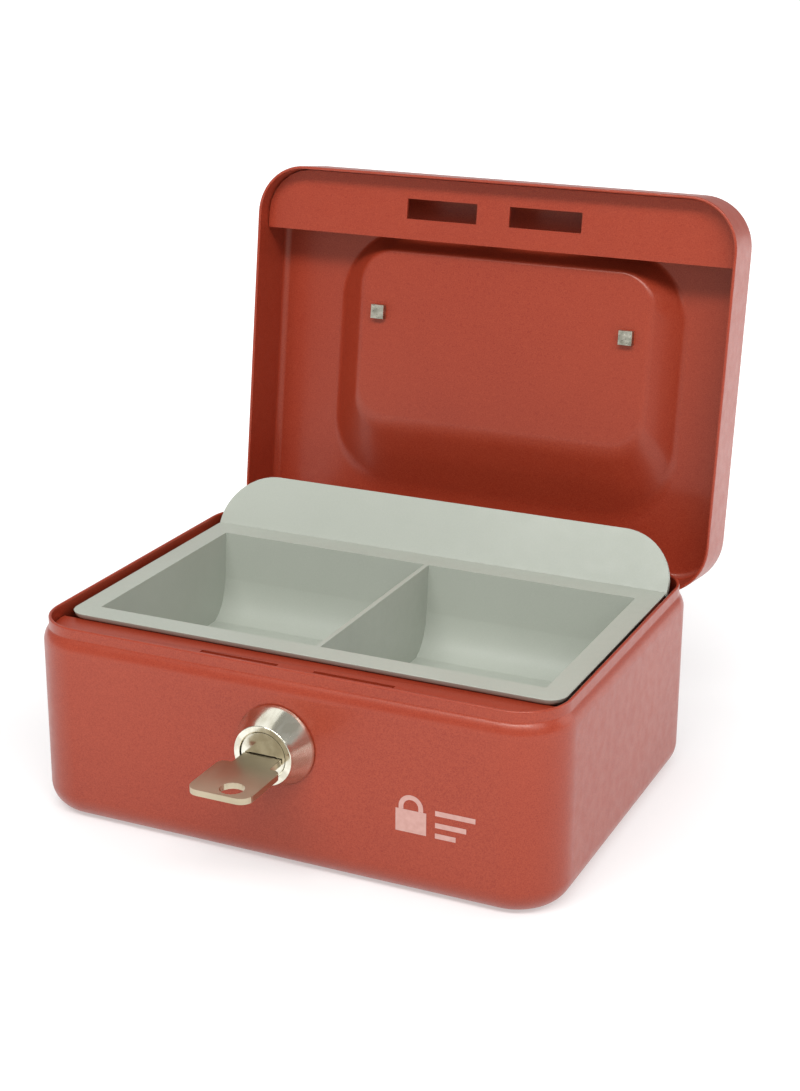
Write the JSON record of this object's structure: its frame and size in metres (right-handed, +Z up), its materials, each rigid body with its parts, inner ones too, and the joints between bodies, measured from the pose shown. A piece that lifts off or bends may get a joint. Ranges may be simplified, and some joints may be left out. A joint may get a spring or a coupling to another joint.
{
  "type": "cash box",
  "caption": "Small red steel cash box with a hinged lid, folding top handle, lift-out plastic coin tray and a key-operated cam lock that drives a two-tongue bolt",
  "frame": {"origin": "the middle of the base's flat underside, between its four sides", "axes": "+Z up, +X to the right of someone facing the lock, -Y towards that person, the hinge on the +Y side"},
  "size_m": [0.152, 0.1872, 0.1587],
  "materials": {
    "red_paint": "satin metallic brick-red stoving paint with a fine grain",
    "tray_plastic": "warm light-grey moulded plastic, satin",
    "bright_chrome": "bright chrome plate",
    "zinc_plate": "bright zinc plate on steel",
    "brass": "stamped brass",
    "key_nickel": "bright nickel plate, lightly worn"
  },
  "bodies": {
    "base": {"base_shell": "red_paint", "lock_cover": "red_paint", "tray_rest_left": "red_paint", "tray_rest_right": "red_paint", "hinge_leaf_base": "red_paint", "hinge_pin": "zinc_plate", "lock_housing": "bright_chrome", "lock_nut": "zinc_plate", "guide_rivet_left": "zinc_plate", "guide_rivet_right": "zinc_plate"},
    "lid": {"lid_shell": "red_paint", "catch_strip": "red_paint", "hinge_leaf_lid": "red_paint", "handle_post_left": "zinc_plate", "handle_post_right": "zinc_plate"},
    "handle": {"handle": "bright_chrome"},
    "plug": {"lock_plug": "bright_chrome", "lock_wafer_1": "brass", "lock_wafer_2": "brass", "lock_wafer_3": "brass", "lock_cam": "zinc_plate", "cam_screw": "zinc_plate"},
    "key": {"key": "key_nickel"},
    "bolt": {"bolt_plate": "zinc_plate"},
    "tray": {"coin_tray": "tray_plastic"}
  },
  "joints": [
    {"name": "lid_hinge", "type": "hinge", "parent": "base", "child": "lid", "pos_m": [0, 0.05773, 0.04545], "axis": [-1, 0, 0], "range_deg": [-97.7, 0]},
    {"name": "handle_swing", "type": "hinge", "parent": "lid", "child": "handle", "pos_m": [0.0025, 0.08861, 0.11447], "axis": [1, 0, 0], "range_deg": [-7.7, 152]},
    {"name": "plug_turn", "type": "hinge", "parent": "base", "child": "plug", "pos_m": [0.0008, -0.0575, 0.0353], "axis": [0, 1, 0], "range_deg": [0, 90]},
    {"name": "key_withdraw", "type": "slide", "parent": "plug", "child": "key", "axis": [0, -1, 0], "range_m": [0, 0.02]},
    {"name": "bolt_slide", "type": "slide", "parent": "base", "child": "bolt", "axis": [-0.7071, 0, 0.7071], "range_m": [0, 0.01131]},
    {"name": "tray_lift", "type": "slide", "parent": "base", "child": "tray", "axis": [0, 0, 1], "range_m": [0, 0.035]}
  ],
  "couplings": [
    {"joint": "bolt_slide", "follows": "plug_turn", "m_per_rad": 0.0072025}
  ]
}
